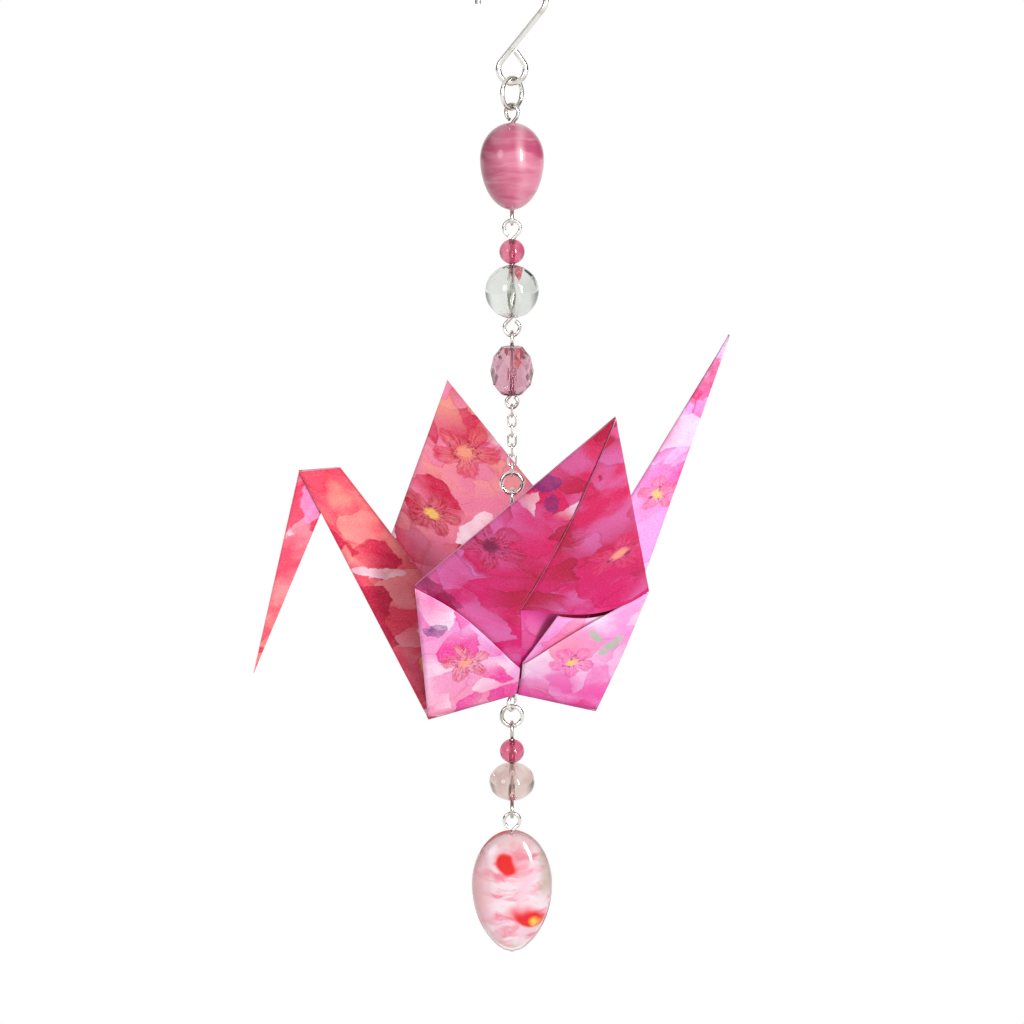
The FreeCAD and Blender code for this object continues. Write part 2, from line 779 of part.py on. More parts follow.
faults = [
    item.Name for item in doc.Objects
    if "Invalid" in item.State or "Error" in item.State
]
for label, item in nodes.items():
    shape = item.Shape
    if shape.isNull() or not shape.isValid() or len(shape.Solids) != 1:
        faults.append(f"{label}: {len(shape.Solids)} solids, valid {shape.isValid()}")
if faults:
    raise RuntimeError("not sound: " + ", ".join(faults))

os.makedirs("parts", exist_ok=True)
for label, item in nodes.items():
    item.Shape.exportStep(f"parts/{label}.step")
    box = item.Shape.BoundBox
    print(f"{label}: z {box.ZMin:.2f} to {box.ZMax:.2f}, volume {item.Shape.Volume:.2f}")
for label, (z, angle) in hang_points.items():
    print(f"hinge {label}: z {z:.3f}, along {angle:.0f} degrees")
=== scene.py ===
import math

import bmesh
import bpy
from mathutils import Matrix, Vector, noise


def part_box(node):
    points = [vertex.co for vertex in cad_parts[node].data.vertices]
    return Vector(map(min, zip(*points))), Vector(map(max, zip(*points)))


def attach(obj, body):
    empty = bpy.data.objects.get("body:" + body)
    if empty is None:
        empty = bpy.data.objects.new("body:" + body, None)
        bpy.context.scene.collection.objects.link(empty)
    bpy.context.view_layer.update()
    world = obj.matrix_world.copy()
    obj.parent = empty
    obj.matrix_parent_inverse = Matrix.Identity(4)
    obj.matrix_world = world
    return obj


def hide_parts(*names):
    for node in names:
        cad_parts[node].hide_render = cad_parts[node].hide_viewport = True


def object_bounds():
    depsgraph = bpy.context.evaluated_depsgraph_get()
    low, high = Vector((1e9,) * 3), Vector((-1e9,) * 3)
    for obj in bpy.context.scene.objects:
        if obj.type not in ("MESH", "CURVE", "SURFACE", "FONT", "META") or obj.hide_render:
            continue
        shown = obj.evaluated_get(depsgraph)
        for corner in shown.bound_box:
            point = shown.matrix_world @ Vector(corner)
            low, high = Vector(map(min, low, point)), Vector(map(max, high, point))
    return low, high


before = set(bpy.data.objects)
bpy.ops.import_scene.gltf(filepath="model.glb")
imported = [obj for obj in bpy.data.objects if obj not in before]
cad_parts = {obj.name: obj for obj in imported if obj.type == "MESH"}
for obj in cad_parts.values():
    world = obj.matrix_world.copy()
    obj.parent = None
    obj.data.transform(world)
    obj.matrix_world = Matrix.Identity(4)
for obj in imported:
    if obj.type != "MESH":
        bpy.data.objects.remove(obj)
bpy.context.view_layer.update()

MM = 0.001


# Silver-plated wire. The hook, rings, pin loops and chain are all soft wire bent round
# a mandrel, so one bright finish with faint drawing marks serves them all.

class Signal:
    """A value that leaves a node's socket, and adds Math nodes when it is reckoned with."""

    def __init__(self, socket):
        self.socket = socket

    def reckon(self, operation, *values):
        maths = self.socket.id_data.nodes.new("ShaderNodeMath")
        maths.operation = operation
        for slot, value in enumerate(values):
            connect(maths.inputs[slot], value)
        return Signal(maths.outputs[0])

    def __add__(self, other):
        return self.reckon("ADD", self, other)

    def __radd__(self, other):
        return self.reckon("ADD", other, self)

    def __sub__(self, other):
        return self.reckon("SUBTRACT", self, other)

    def __rsub__(self, other):
        return self.reckon("SUBTRACT", other, self)

    def __mul__(self, other):
        return self.reckon("MULTIPLY", self, other)

    def __rmul__(self, other):
        return self.reckon("MULTIPLY", other, self)

    def __truediv__(self, other):
        return self.reckon("DIVIDE", self, other)

    def __rtruediv__(self, other):
        return self.reckon("DIVIDE", other, self)

    def size(self):
        """The value without its sign."""
        return self.reckon("ABSOLUTE", self)


def connect(socket, value):
    if isinstance(value, Signal):
        socket.id_data.links.new(value.socket, socket)
    else:
        socket.default_value = value


class Finish:
    """The shader nodes of one finish: those of a new material, or of the world given."""

    def __init__(self, name, world=None):
        self.owner = world or bpy.data.materials.new(name)
        self.owner.use_nodes = True
        self.tree = self.owner.node_tree
        self.tree.nodes.clear()

    def node(self, kind, settings=None, inputs=None, output=0):
        """Adds one node: its settings first, then the values or links of its sockets."""
        made = self.tree.nodes.new("ShaderNode" + kind)
        for name, value in (settings or {}).items():
            setattr(made, name, value)
        for name, value in (inputs or {}).items():
            connect(made.inputs[name], value)
        return Signal(made.outputs[output])

    def blend(self, share, first, second, mode="MIX"):
        """Mixes two colours by a share from 0 to 1."""
        return self.node(
            "Mix", {"data_type": "RGBA", "blend_type": mode, "clamp_factor": True},
            {0: share, 6: first, 7: second}, 2,
        )

    def step(self, value, low, high):
        """0 below low, 1 above high and smooth between; low may be the larger."""
        return self.node(
            "MapRange", {"interpolation_type": "SMOOTHSTEP"},
            {"Value": value, "From Min": low, "From Max": high},
        )

    def shift(self, vector, by):
        return self.node("VectorMath", {"operation": "ADD"}, {0: vector, 1: by})

    def scale(self, vector, by):
        return self.node("VectorMath", {"operation": "MULTIPLY"}, {0: vector, 1: by})

    def cover(self, shader, kind="Material"):
        """Lays the shader on the surface and returns the material or the world."""
        surface = self.tree.nodes.new("ShaderNodeOutput" + kind)
        connect(surface.inputs["Surface"], shader)
        return self.owner

    def place(self):
        return self.node("TexCoord", output="Object")


WIRE_SILVER = (0.80, 0.78, 0.74, 1)
WIRE_SHADE = (0.50, 0.47, 0.42, 1)


def plated_wire_finish():
    plate = Finish("silver_plated_wire")
    tarnish = plate.node(
        "TexNoise", None, {"Vector": plate.place(), "Scale": 260.0, "Detail": 2.0}, "Fac"
    )
    marks = plate.node(
        "TexNoise", None, {"Vector": plate.place(), "Scale": 700.0, "Detail": 2.0}, "Fac"
    )
    bump = plate.node("Bump", None, {"Strength": 0.06, "Distance": 0.00003, "Height": marks})
    return plate.cover(plate.node("BsdfPrincipled", None, {
        "Base Color": plate.blend(plate.step(tarnish, 0.42, 0.70), WIRE_SILVER, WIRE_SHADE),
        "Metallic": 1.0,
        "Roughness": 0.12 + tarnish * 0.14,
        "Normal": bump,
    }))


plated_wire = plated_wire_finish()


def bend_wire(name, points, diameter, body, closed=False):
    """Round wire along a path of points in millimetres, standing for the CAD node it names."""
    path = bpy.data.curves.new(name, "CURVE")
    path.dimensions = "3D"
    path.resolution_u = 3
    path.bevel_depth = diameter * MM / 2
    path.bevel_resolution = 5
    path.use_fill_caps = True
    run = path.splines.new("NURBS")
    run.points.add(len(points) - 1)
    for knot, point in zip(run.points, points):
        knot.co = (*(Vector(point) * MM), 1.0)
    run.order_u = 3
    run.use_endpoint_u = not closed
    run.use_cyclic_u = closed
    wire = bpy.data.objects.new(name, path)
    bpy.context.collection.objects.link(wire)
    path.materials.append(plated_wire)
    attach(wire, body)
    return wire


def arc_points(centre, radius, first, last, step=12):
    """Points of an arc in the X-Z plane, angles in degrees from +X towards +Z."""
    count = max(2, round(abs(last - first) / step))
    points = []
    for i in range(count + 1):
        angle = math.radians(first + (last - first) * i / count)
        points.append(Vector((
            centre[0] + radius * math.cos(angle), 0, centre[1] + radius * math.sin(angle)
        )))
    return points


def turn_about_strand(points, degrees):
    turn = Matrix.Rotation(math.radians(degrees), 3, "Z")
    return [turn @ point for point in points]


def box_mm(node):
    low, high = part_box(node)
    return Vector(low) / MM, Vector(high) / MM


# Hanging hook: one piece of heavier wire. The arch is open at the left for a nail,
# the shank slants to the left, and the eye closes against its underside.

HOOK_WIRE = 0.9
HOOK_ARCH = 5.3
HOOK_BEND = 2.5
HOOK_EYE = 2.12
HOOK_DROP = 10.7
HOOK_TIP = 0.6
HOOK_END_ANGLE = 36
HOOK_END_RUN = 2.0


def hook_path():
    arch = (0, HOOK_WIRE / 2 - HOOK_ARCH)
    bend = (HOOK_ARCH - HOOK_BEND, arch[1])
    eye = (0, arch[1] - HOOK_DROP)
    reach = math.hypot(bend[0], HOOK_DROP)
    slant = math.degrees(
        math.atan2(bend[0], HOOK_DROP) + math.asin((HOOK_BEND + HOOK_EYE) / reach)
    )
    points = [Vector((-HOOK_ARCH, 0, arch[1] - HOOK_TIP))]
    points += arc_points(arch, HOOK_ARCH, 180, 0)
    points += arc_points(bend, HOOK_BEND, -8, -slant)
    points += arc_points(eye, HOOK_EYE, 180 - slant, 360 + HOOK_END_ANGLE)
    away = math.radians(HOOK_END_ANGLE)
    points.append(points[-1] + Vector((-math.sin(away), 0, math.cos(away))) * HOOK_END_RUN)
    return points


hook = bend_wire("hook", hook_path(), HOOK_WIRE, "hook")
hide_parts("hanging_hook")


# Jump rings: short turns of wire sprung shut, so each shows a hairline split. The top
# one joins hook and drop bead, and the lower two hold the crane's pin above and below.

RING_WIRE = 0.7
RING_SPLIT = 7


def jump_ring(node, outer, plane, split_at):
    low, high = box_mm(node)
    centre = (0, (low.z + high.z) / 2)
    radius = (outer - RING_WIRE) / 2
    points = arc_points(centre, radius, split_at + RING_SPLIT / 2, split_at + 360 - RING_SPLIT / 2)
    ring = bend_wire(node + "_wire", turn_about_strand(points, plane), RING_WIRE, node)
    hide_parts(node)


jump_ring("top_jump_ring", 5.5, 50, 300)
jump_ring("middle_jump_ring", 4.1, 0, 300)
jump_ring("lower_jump_ring", 4.1, 0, 300)


# Looped pins: finer wire, straight through the beads, with each end turned back
# into a loop beside the shaft. The loops carry the next piece down.

PIN_WIRE = 0.6
LOOP_START = -58
LOOP_END = 246


def loop_points(centre_z, outer, plane, upward):
    """One turned loop: leaves the shaft to one side, goes round and ends at the shaft."""
    radius = (outer - PIN_WIRE) / 2
    points = [Vector((0, 0, -radius - 1.1)), Vector((0, 0, -radius - 0.55))]
    points += arc_points((0, 0), radius, LOOP_START, LOOP_END)
    if not upward:
        flip = Matrix.Rotation(math.pi, 3, "Y")
        points = [flip @ point for point in points]
    rise = Vector((0, 0, centre_z))
    return [point + rise for point in turn_about_strand(points, plane)]


def looped_pin(node, top_outer, bottom_outer, top_plane, bottom_plane):
    low, high = box_mm(node)
    top = loop_points(high.z - top_outer / 2, top_outer, top_plane, True)
    bottom = loop_points(low.z + bottom_outer / 2, bottom_outer, bottom_plane, False)
    pin = bend_wire(node + "_wire", list(reversed(top)) + bottom, PIN_WIRE, node)
    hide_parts(node)


looped_pin("drop_bead_pin", 3.1, 2.5, -40, 90)
looped_pin("upper_bead_pin", 3.2, 3.05, 0, 0)
looped_pin("faceted_bead_pin", 2.7, 2.4, 90, 0)
looped_pin("crane_pin", 3.0, 3.0, 90, 60)
looped_pin("lower_bead_pin", 3.2, 3.2, 90, 90)


# Cable chain: seven small oval links of fine wire, bent and closed by machine. Each
# one hangs in the one above, a quarter turn from it.

LINK_WIRE = 0.36
LINK_WIDTH = 1.62
LINK_LENGTH = 2.38
LINK_COUNT = 7

for number in range(1, LINK_COUNT + 1):
    label = f"chain_link_{number}"
    low, high = box_mm(label)
    middle = (low.z + high.z) / 2
    bend = (LINK_WIDTH - LINK_WIRE) / 2
    straight = (LINK_LENGTH - LINK_WIDTH) / 2
    oval = arc_points((0, middle + straight), bend, 0, 180, 20)
    oval += arc_points((0, middle - straight), bend, 180, 360, 20)
    plane = 90 if number % 2 else 0
    link = bend_wire(label + "_wire", turn_about_strand(oval, plane), LINK_WIRE, label, True)
    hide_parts(label)


# Swirled drop bead: lampworked opaque glass, dusty pink with darker trails wound
# round it in the flame. It is egg-shaped, and threads on the first pin.

BORE = 0.76
SPIN_STEPS = 72


def lathe(name, profile, body, finish, node):
    """A bead spun from its outer profile, (radius, height) in mm, with a bored hole."""
    shape = bmesh.new()
    ring = [shape.verts.new(Vector((r, 0, z)) * MM) for r, z in profile]
    bore = BORE / 2
    for z in (profile[-1][1], profile[0][1]):
        ring.append(shape.verts.new(Vector((bore, 0, z)) * MM))
    edges = [shape.edges.new(pair) for pair in zip(ring, ring[1:] + ring[:1])]
    bmesh.ops.spin(
        shape, geom=ring + edges, cent=(0, 0, 0), axis=(0, 0, 1), angle=2 * math.pi,
        steps=SPIN_STEPS, use_merge=True, use_duplicate=False,
    )
    bmesh.ops.remove_doubles(shape, verts=shape.verts, dist=1e-7)
    bmesh.ops.recalc_face_normals(shape, faces=shape.faces)
    return finished(name, shape, body, finish, node)


def finished(name, shape, body, finish, node=None):
    """Turns a bmesh into a piece that rides its body, and stands for a CAD node if named."""
    mesh = bpy.data.meshes.new(name)
    shape.to_mesh(mesh)
    shape.free()
    mesh.shade_smooth()
    piece = bpy.data.objects.new(name, mesh)
    bpy.context.collection.objects.link(piece)
    mesh.materials.append(finish)
    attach(piece, body)
    if node:
        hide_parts(node)
    return piece


def oval_profile(width, top, bottom, widest, rows=40):
    """Half outline of a bead from its top hole to its bottom hole, rounded at the holes."""
    radius = width / 2
    lip = BORE / 2 + 0.12
    points = []
    for i in range(rows + 1):
        angle = math.pi / 2 - math.pi * i / rows
        height = (top - widest) if angle > 0 else (widest - bottom)
        points.append((max(lip, radius * math.cos(angle)), widest + height * math.sin(angle)))
    return points


SEAM_PLACE = 0.0011
SEAM_WIDTH = 0.0012


def drop_bead_finish():
    glass = Finish("swirled_pink_glass")
    place = glass.place()
    wander = glass.node(
        "TexNoise", None, {"Vector": place, "Scale": 110.0, "Detail": 2.0}, "Color"
    )
    sway = glass.scale(glass.shift(wander, (-0.5, -0.5, -0.5)), (0.003, 0.003, 0.0022))
    wound = glass.scale(glass.shift(place, sway), (0.16, 0.16, 1.0))
    trails = glass.node(
        "TexNoise", None,
        {"Vector": wound, "Scale": 430.0, "Detail": 3.0, "Roughness": 0.5}, "Fac",
    )
    fine = glass.node(
        "TexNoise", None,
        {"Vector": wound, "Scale": 1100.0, "Detail": 3.0, "Roughness": 0.55}, "Fac",
    )
    clouds = glass.node("TexNoise", None, {"Vector": place, "Scale": 150.0}, "Fac")
    body = glass.blend(
        glass.step(clouds, 0.34, 0.66), (0.45, 0.085, 0.155, 1), (0.56, 0.17, 0.26, 1)
    )
    veiled = glass.blend(glass.step(fine, 0.42, 0.76) * 0.40, body, (0.66, 0.32, 0.40, 1))
    trailed = glass.blend(glass.step(trails, 0.52, 0.34) * 0.70, veiled, (0.38, 0.03, 0.11, 1))
    fold = glass.node("SeparateXYZ", None, {"Vector": glass.shift(place, sway)}, 0)
    seam = glass.step((fold - SEAM_PLACE).size(), SEAM_WIDTH, 0.0)
    crown = glass.node("SeparateXYZ", None, {"Vector": place}, 2)
    seam = seam * (0.2 + glass.step(crown, -0.032, -0.027))
    seamed = glass.blend(seam * (0.75 * clouds), trailed, (0.80, 0.50, 0.54, 1))
    return glass.cover(glass.node("BsdfPrincipled", None, {
        "Base Color": seamed,
        "Roughness": 0.32,
        "Specular IOR Level": 0.3,
        "Coat Weight": 0.55,
        "Coat Roughness": 0.05,
    }))


DROP_WIDTH = 10.1
DROP_UPPER = 5.6

low, high = box_mm("swirl_drop_bead")
lathe(
    "drop_bead", oval_profile(DROP_WIDTH, high.z, low.z, high.z - DROP_UPPER),
    "swirl_drop_bead", drop_bead_finish(), "swirl_drop_bead",
)


# Small round beads: pressed rose glass, clear enough to show the pin inside. One sits
# above the large clear bead and one above the rondelle, each with a hole through it.

def clear_glass(name, colour, streak, depth=1.0, roughness=0.02, swell=0.0001, cord=420.0,
                gloss=0.5):
    """Transparent glass with faint cords in it; swell is how uneven its skin is, in metres."""
    glass = Finish(name)
    cords = glass.node(
        "TexNoise", None,
        {"Vector": glass.scale(glass.place(), (1.0, 1.0, 0.45)), "Scale": cord, "Detail": 2.0},
        "Fac",
    )
    off_axis = glass.node(
        "VectorMath", {"operation": "LENGTH"}, {0: glass.scale(glass.place(), (1000, 1000, 0))},
        "Value",
    )
    ground = glass.step(off_axis, 0.50, 0.42)
    tint = glass.blend(glass.step(cords, 0.35, 0.7), colour, streak)
    bump = glass.node("Bump", None, {"Strength": 0.12, "Distance": swell, "Height": cords})
    return glass.cover(glass.node("BsdfPrincipled", None, {
        "Base Color": tint,
        "Roughness": roughness + cords * 0.02 + ground * 0.3,
        "Transmission Weight": depth,
        "IOR": 1.5,
        "Specular IOR Level": gloss,
        "Normal": bump,
    }))


def round_bead(name, node, width, finish):
    """A bead that is widest halfway between its two holes, in place of its CAD node."""
    low, high = box_mm(node)
    profile = oval_profile(width, high.z, low.z, (high.z + low.z) / 2)
    lathe(name, profile, node, finish, node)


rose_glass = clear_glass("rose_glass", (0.70, 0.10, 0.22, 1), (0.80, 0.26, 0.38, 1), 0.88)
SMALL_WIDTH = 4.05

for label in ("upper_round_bead", "lower_round_bead"):
    round_bead(label + "_glass", label, SMALL_WIDTH, rose_glass)


# Clear bead: a larger round one of faintly smoky pressed glass. It shares the upper
# bead pin, which shows through it.

clear_bead_glass = clear_glass(
    "clear_glass", (0.80, 0.82, 0.78, 1), (0.58, 0.60, 0.55, 1), swell=0.010, cord=210.0
)
CLEAR_WIDTH = 8.55

round_bead("clear_bead", "clear_round_bead", CLEAR_WIDTH, clear_bead_glass)


# Faceted bead: mauve glass with fire-polished flats, so its edges are a little soft.
# The CAD solid has the flats; only its finish is set here.

mauve_glass = clear_glass(
    "mauve_glass", (0.78, 0.47, 0.54, 1), (0.60, 0.28, 0.37, 1), 0.95, 0.03
)
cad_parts["faceted_bead"].data.materials.clear()
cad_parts["faceted_bead"].data.materials.append(mauve_glass)


# Rondelle: a flattened bead of palest pink pressed glass. It sits below the crane, on
# the lower bead pin, between the small round bead and the pendant.

rondelle_glass = clear_glass(
    "pale_pink_glass", (0.82, 0.68, 0.63, 1), (0.62, 0.44, 0.41, 1), swell=0.002
)
RONDELLE_WIDTH = 7.5

round_bead("rondelle", "rondelle_bead", RONDELLE_WIDTH, rondelle_glass)


# Folded crane: one square sheet, printed on the face that shows, folded to a bird base,
# its legs narrowed and turned up for neck and tail, its head turned down.
# Lengths are in millimetres in the crane's own frame: x from neck to tail, y across
# the body (the viewer is at -y), z up from the lowest point of the middle fold.

CRANE_TURN = 10.2
CRANE_LOOP = 3.0
PAPER_LAYERS = 0.34
SEAT_GAP = 0.05
SHEET = 0.12
SQUARE = 150
WING_LENGTH = SQUARE * 0.3240
ROOT = 18.6
ROOT_TILT = 1.15
HALF_BODY = 14.0
CORNER_DROP = 3.7
BULGE = 2.6
BEND_DIP = 0.135

crane_zero = box_mm("crane_pin")[0].z + CRANE_LOOP + SEAT_GAP + PAPER_LAYERS
crane_frame = (
    Matrix.Translation((0, 0, crane_zero * MM))
    @ Matrix.Rotation(math.radians(CRANE_TURN), 4, "Z")
    @ Matrix.Scale(MM, 4)
)


class Flank:
    """One side of the body with its wing. way is -1 in front and +1 at the back, out and
    up place the wing's root line, and rise is the wing's slope in degrees."""

    def __init__(self, way, out, up, rise, tip_shift, slit_pull):
        self.way = way
        self.out = out
        self.up = up
        self.slit_pull = slit_pull
        rise = math.radians(rise)
        self.tip = Vector((
            tip_shift,
            way * (out + WING_LENGTH * math.cos(rise)),
            up + WING_LENGTH * math.sin(rise),
        ))
        self.outward = Vector((0, way * up, -out)).normalized()
        self.wing_outward = Vector((0, way * math.sin(rise), -math.cos(rise))).normalized()

    def slit(self, share):
        """How far the middle line of the flank stands off the middle of the sheet."""
        return self.slit_pull * (0.7 - 1.2 * share - 1.8 * share * share)

    def body(self, x, share, lift=0.0):
        """A point of the flank: share is 0 at the bottom fold and 1 at the wing corners."""
        full = 1 - (x / ROOT) ** 2
        low = Vector((x * HALF_BODY / ROOT, self.way * 0.2, -CORNER_DROP * abs(x) / ROOT))
        top = Vector((x, self.way * self.out, self.up - ROOT_TILT * x / ROOT))
        swell = BULGE * math.sin(0.8 * math.pi * max(share, 0.0) ** 0.85) * (0.35 + 0.65 * full)
        pulled = Vector((self.slit(share) * (1 - abs(x) / ROOT), 0, 0))
        return low.lerp(top, share) + self.outward * (swell * 0.75 + lift) + pulled

    def bend_share(self, x):
        return 1 - BEND_DIP * (1 - (x / ROOT) ** 2) ** 0.8

    def wing(self, x, share, lift=0.0):
        """A point of the wing: share is 0 at its bend and 1 at its tip."""
        bend = self.bend_share(x)
        root = self.body(x, bend)
        camber = 0.5 * math.sin(math.pi * share) * (1 - (x / ROOT) ** 2)
        pull = self.slit(bend) * (1 - abs(x) / ROOT) * ((1 - share) ** 3 - (1 - share))
        point = root.lerp(self.tip, share) + self.wing_outward * (lift + camber)
        return point + Vector((pull, 0, 0))


front = Flank(way=-1, out=17.9, up=22.2, rise=42.0, tip_shift=5.1, slit_pull=1.0)
back = Flank(way=1, out=20.7, up=17.6, rise=30.2, tip_shift=-0.8, slit_pull=0.4)

crane = bmesh.new()
flat_map = crane.loops.layers.uv.new("sheet")
wash_layers = [
    crane.verts.layers.float_color.new(name) for name in ("wash", "deep", "pale")
]


def paper_panel(place, flat, columns, rows, palette, origin, ripple=0.2):
    """A panel of the sheet. place(u, v) is its point and flat(u, v) its spot on the flat
    sheet in mm; palette holds the wash, deep and pale colours at v = 0 and at v = 1."""
    grid = bmesh.ops.create_grid(crane, x_segments=columns, y_segments=rows, size=0.5)["verts"]
    spots = {corner: (corner.co.x + 0.5, corner.co.y + 0.5) for corner in grid}
    for face in {face for corner in grid for face in corner.link_faces}:
        for loop in face.loops:
            x, y = flat(*spots[loop.vert])
            loop[flat_map].uv = ((x + origin[0]) / 10, (y + origin[1]) / 10)
    for corner, (u, v) in spots.items():
        point = place(u, v)
        bent = noise.noise(point * 0.11 + Vector((*origin, 0)) * 0.1) * ripple
        corner.co = crane_frame @ (point + Vector((0, bent, 0)))
        for layer, (first, second) in zip(wash_layers, palette):
            corner[layer] = (*Vector(first).lerp(Vector(second), v), 1.0)


def wing_half(flank, side, lift, overhang):
    """The outer layer of half a wing, from its tip to its bend. It turns in under itself
    where it overhangs, or else runs on down the body below the flap."""
    wing_part = 0.72

    def place(u, v):
        x = side * ROOT * u
        raised = lift * (1 - 0.55 * u)
        if v <= wing_part:
            share = 1 - v / wing_part
            parted = min(1.0, max(0.04, (share - 0.38) * 4)) * (1 - 0.7 * share)
            gap = side * 0.19 * parted * (1 - u)
            droop = overhang * math.sin(math.pi * u ** 1.5) * (1 - share) ** 8
            point = flank.wing(x, share, raised + droop * 0.9)
            return point + Vector((gap, 0, -droop * 0.25))
        bend = flank.bend_share(x)
        on = (v - wing_part) / (1 - wing_part)
        if overhang:
            droop = overhang * math.sin(math.pi * u ** 1.5)
            turn = math.pi * min(1.0, on * 1.6)
            out = raised + droop * 0.9 - 0.25 * (1 - math.cos(turn)) * (1 - u ** 4)
            point = flank.wing(x, 0.05 * max(0.0, on - 0.4), out)
            return point + Vector((0, 0, -droop * 0.25 - 0.16 * math.sin(turn)))
        down = bend + (0.22 - bend) * on
        return flank.body(x, down, raised * (1 - on) - 0.12 * on)

    def flat(u, v):
        width = min(1.0, v / wing_part)
        if v <= wing_part:
            return (side * ROOT * u * width, 30 + 50 * (1 - v / wing_part))
        return (side * ROOT * u, 30 - 22 * (v - wing_part) / (1 - wing_part))

    return place, flat


def inner_panel(flank, side, lift, pocket):
    """The layer inside: one smooth face from the wing's tip to the bottom fold. It falls
    back into a pocket behind the wing's overhanging edge, on the side given."""
    wing_part = 0.66

    def place(u, v):
        x = ROOT * (2 * u - 1) * 0.995
        if v <= wing_part:
            return flank.wing(x, 1 - v / wing_part, -lift)
        bend = flank.bend_share(x)
        share = (v - wing_part) / (1 - wing_part)
        sink = 0.35 * min(1.0, share * 4) * (1 - abs(2 * u - 1) ** 4)
        beside = max(0.0, side * (2 * u - 1))
        sink += pocket * math.sin(math.pi * beside) * math.sin(math.pi * min(1.0, share * 2.5))
        return flank.body(x, bend + (0.06 - bend) * share, -lift - sink)

    def flat(u, v):
        if v <= wing_part:
            return (ROOT * (2 * u - 1) * v / wing_part, 30 + 50 * (1 - v / wing_part))
        return (ROOT * (2 * u - 1), 30 - 26 * (v - wing_part) / (1 - wing_part))

    return place, flat


def flap(flank, side, lift, meet, arch):
    """The narrowed leg flap that lies outermost on the body."""
    def top(u):
        return meet + (0.985 - meet) * u + arch * math.sin(math.pi * u)

    def place(u, v):
        x = side * (0.22 + (ROOT - 0.22) * u)
        sprung = 0.32 * max(0.0, v - 0.7) / 0.3 * math.sin(math.pi * u) ** 0.7
        return flank.body(x, top(u) * v, lift * (1 - 0.4 * u) + sprung)

    def flat(u, v):
        return (side * ROOT * u, 30 * top(u) * v)

    return place, flat


def dart(flank, side, lift, meet, corner, corner_share):
    """The layer between a flap and the wing, cut back beside the slit."""
    def place(u, v):
        x = side * (0.25 + (ROOT - 0.25) * u)
        reach = abs(x)
        if reach < corner:
            top = meet + (corner_share - meet) * reach / corner
        else:
            hidden = 0.012 + 0.092 * math.sin(math.pi * (reach / ROOT) ** 1.5)
            top = min(corner_share, flank.bend_share(x) - hidden)
        return flank.body(x, meet + (top - meet) * v, lift * (1 - 0.5 * u))

    def flat(u, v):
        return (side * ROOT * u, 12 + 18 * v * (0.3 + 0.7 * u))

    return place, flat


# Colours of the washes, from hot pink and crimson to lilac and the bare pale paper. Each
# panel has three, for its wash, its deep dabs and its pale ones, at each of its two ends.

HOT_PINK = (0.78, 0.035, 0.30)
ROSE = (0.66, 0.075, 0.17)
MAGENTA = (0.58, 0.005, 0.15)
ORCHID = (0.60, 0.14, 0.38)
CRIMSON = (0.42, 0.005, 0.04)
SCARLET = (0.62, 0.012, 0.07)
CORAL = (0.74, 0.055, 0.11)
PEACH = (0.86, 0.34, 0.22)
BLUSH = (0.83, 0.27, 0.42)
LILAC = (0.76, 0.32, 0.66)
MIST = (0.68, 0.52, 0.84)
PLUM = (0.14, 0.006, 0.04)
INK = (0.05, 0.018, 0.15)
BARE = (0.90, 0.74, 0.83)
LEAF = (0.20, 0.52, 0.26)
YOLK = (0.85, 0.55, 0.12)

WING_FRONT = ((SCARLET, MAGENTA), (CRIMSON, CRIMSON), (ORCHID, ORCHID))
WING_BACK = ((BLUSH, ROSE), (SCARLET, CRIMSON), (PEACH, BLUSH))
BODY_LEFT = ((BLUSH, LILAC), (HOT_PINK, HOT_PINK), (BARE, BARE))
BODY_RIGHT = ((HOT_PINK, LILAC), (HOT_PINK, BLUSH), (LILAC, BARE))
UNDER = ((HOT_PINK, HOT_PINK), (CRIMSON, MAGENTA), (BLUSH, ORCHID))
NECK = ((CORAL, CORAL), (CRIMSON, SCARLET), (BLUSH, PEACH))
TAIL = ((LILAC, LILAC), (HOT_PINK, HOT_PINK), (MIST, MIST))
HEAD = ((CORAL, CORAL), (SCARLET, SCARLET), (BLUSH, PEACH))

for flank, wing, origin in ((front, WING_FRONT, 40), (back, WING_FRONT, 100)):
    right = 1 if flank is front else -1
    place, flat = wing_half(flank, -right, lift=0.12, overhang=0.0)
    paper_panel(place, flat, 20, 60, wing, (origin, 0))
    place, flat = wing_half(flank, right, lift=0.24, overhang=1.2)
    paper_panel(place, flat, 20, 64, wing, (origin + 18, 6))
    place, flat = dart(flank, right, lift=0.20, meet=0.36, corner=6.0, corner_share=0.84)
    paper_panel(place, flat, 30, 12, BODY_RIGHT, (origin, 140))
    place, flat = flap(flank, -right, lift=0.42, meet=0.33, arch=0.125)
    paper_panel(place, flat, 20, 18, BODY_LEFT, (origin, 100))
    place, flat = flap(flank, right, lift=0.40, meet=0.37, arch=0.05)
    paper_panel(place, flat, 20, 18, BODY_RIGHT, (origin + 18, 100))
    place, flat = inner_panel(flank, right, lift=0.14, pocket=1.9)
    shade = UNDER if flank is front else WING_BACK
    paper_panel(place, flat, 32, 56, shade, (origin + 120, 0))


# Neck, head and tail: the two narrowed legs of the same sheet, turned up between the
# layers of the body. Each is closed along its upper fold and open along its lower edge,
# and the head is folded down inside the end of the neck.

LEG_OPENING = 0.9
FOOT = Vector((0, 0, PAPER_LAYERS))
NECK_TOP = Vector((-28.8, -8.3, 40.1))
NECK_EDGE = Vector((-35.3, -9.1, 39.9))
NECK_CORNER = Vector((-HALF_BODY, 0, -CORNER_DROP))
BEAK = Vector((-43.1, -10.4, 8.2))
TAIL_TIP = Vector((37.6, 6.7, 57.3))
TAIL_CORNER = Vector((HALF_BODY, 0, -CORNER_DROP))


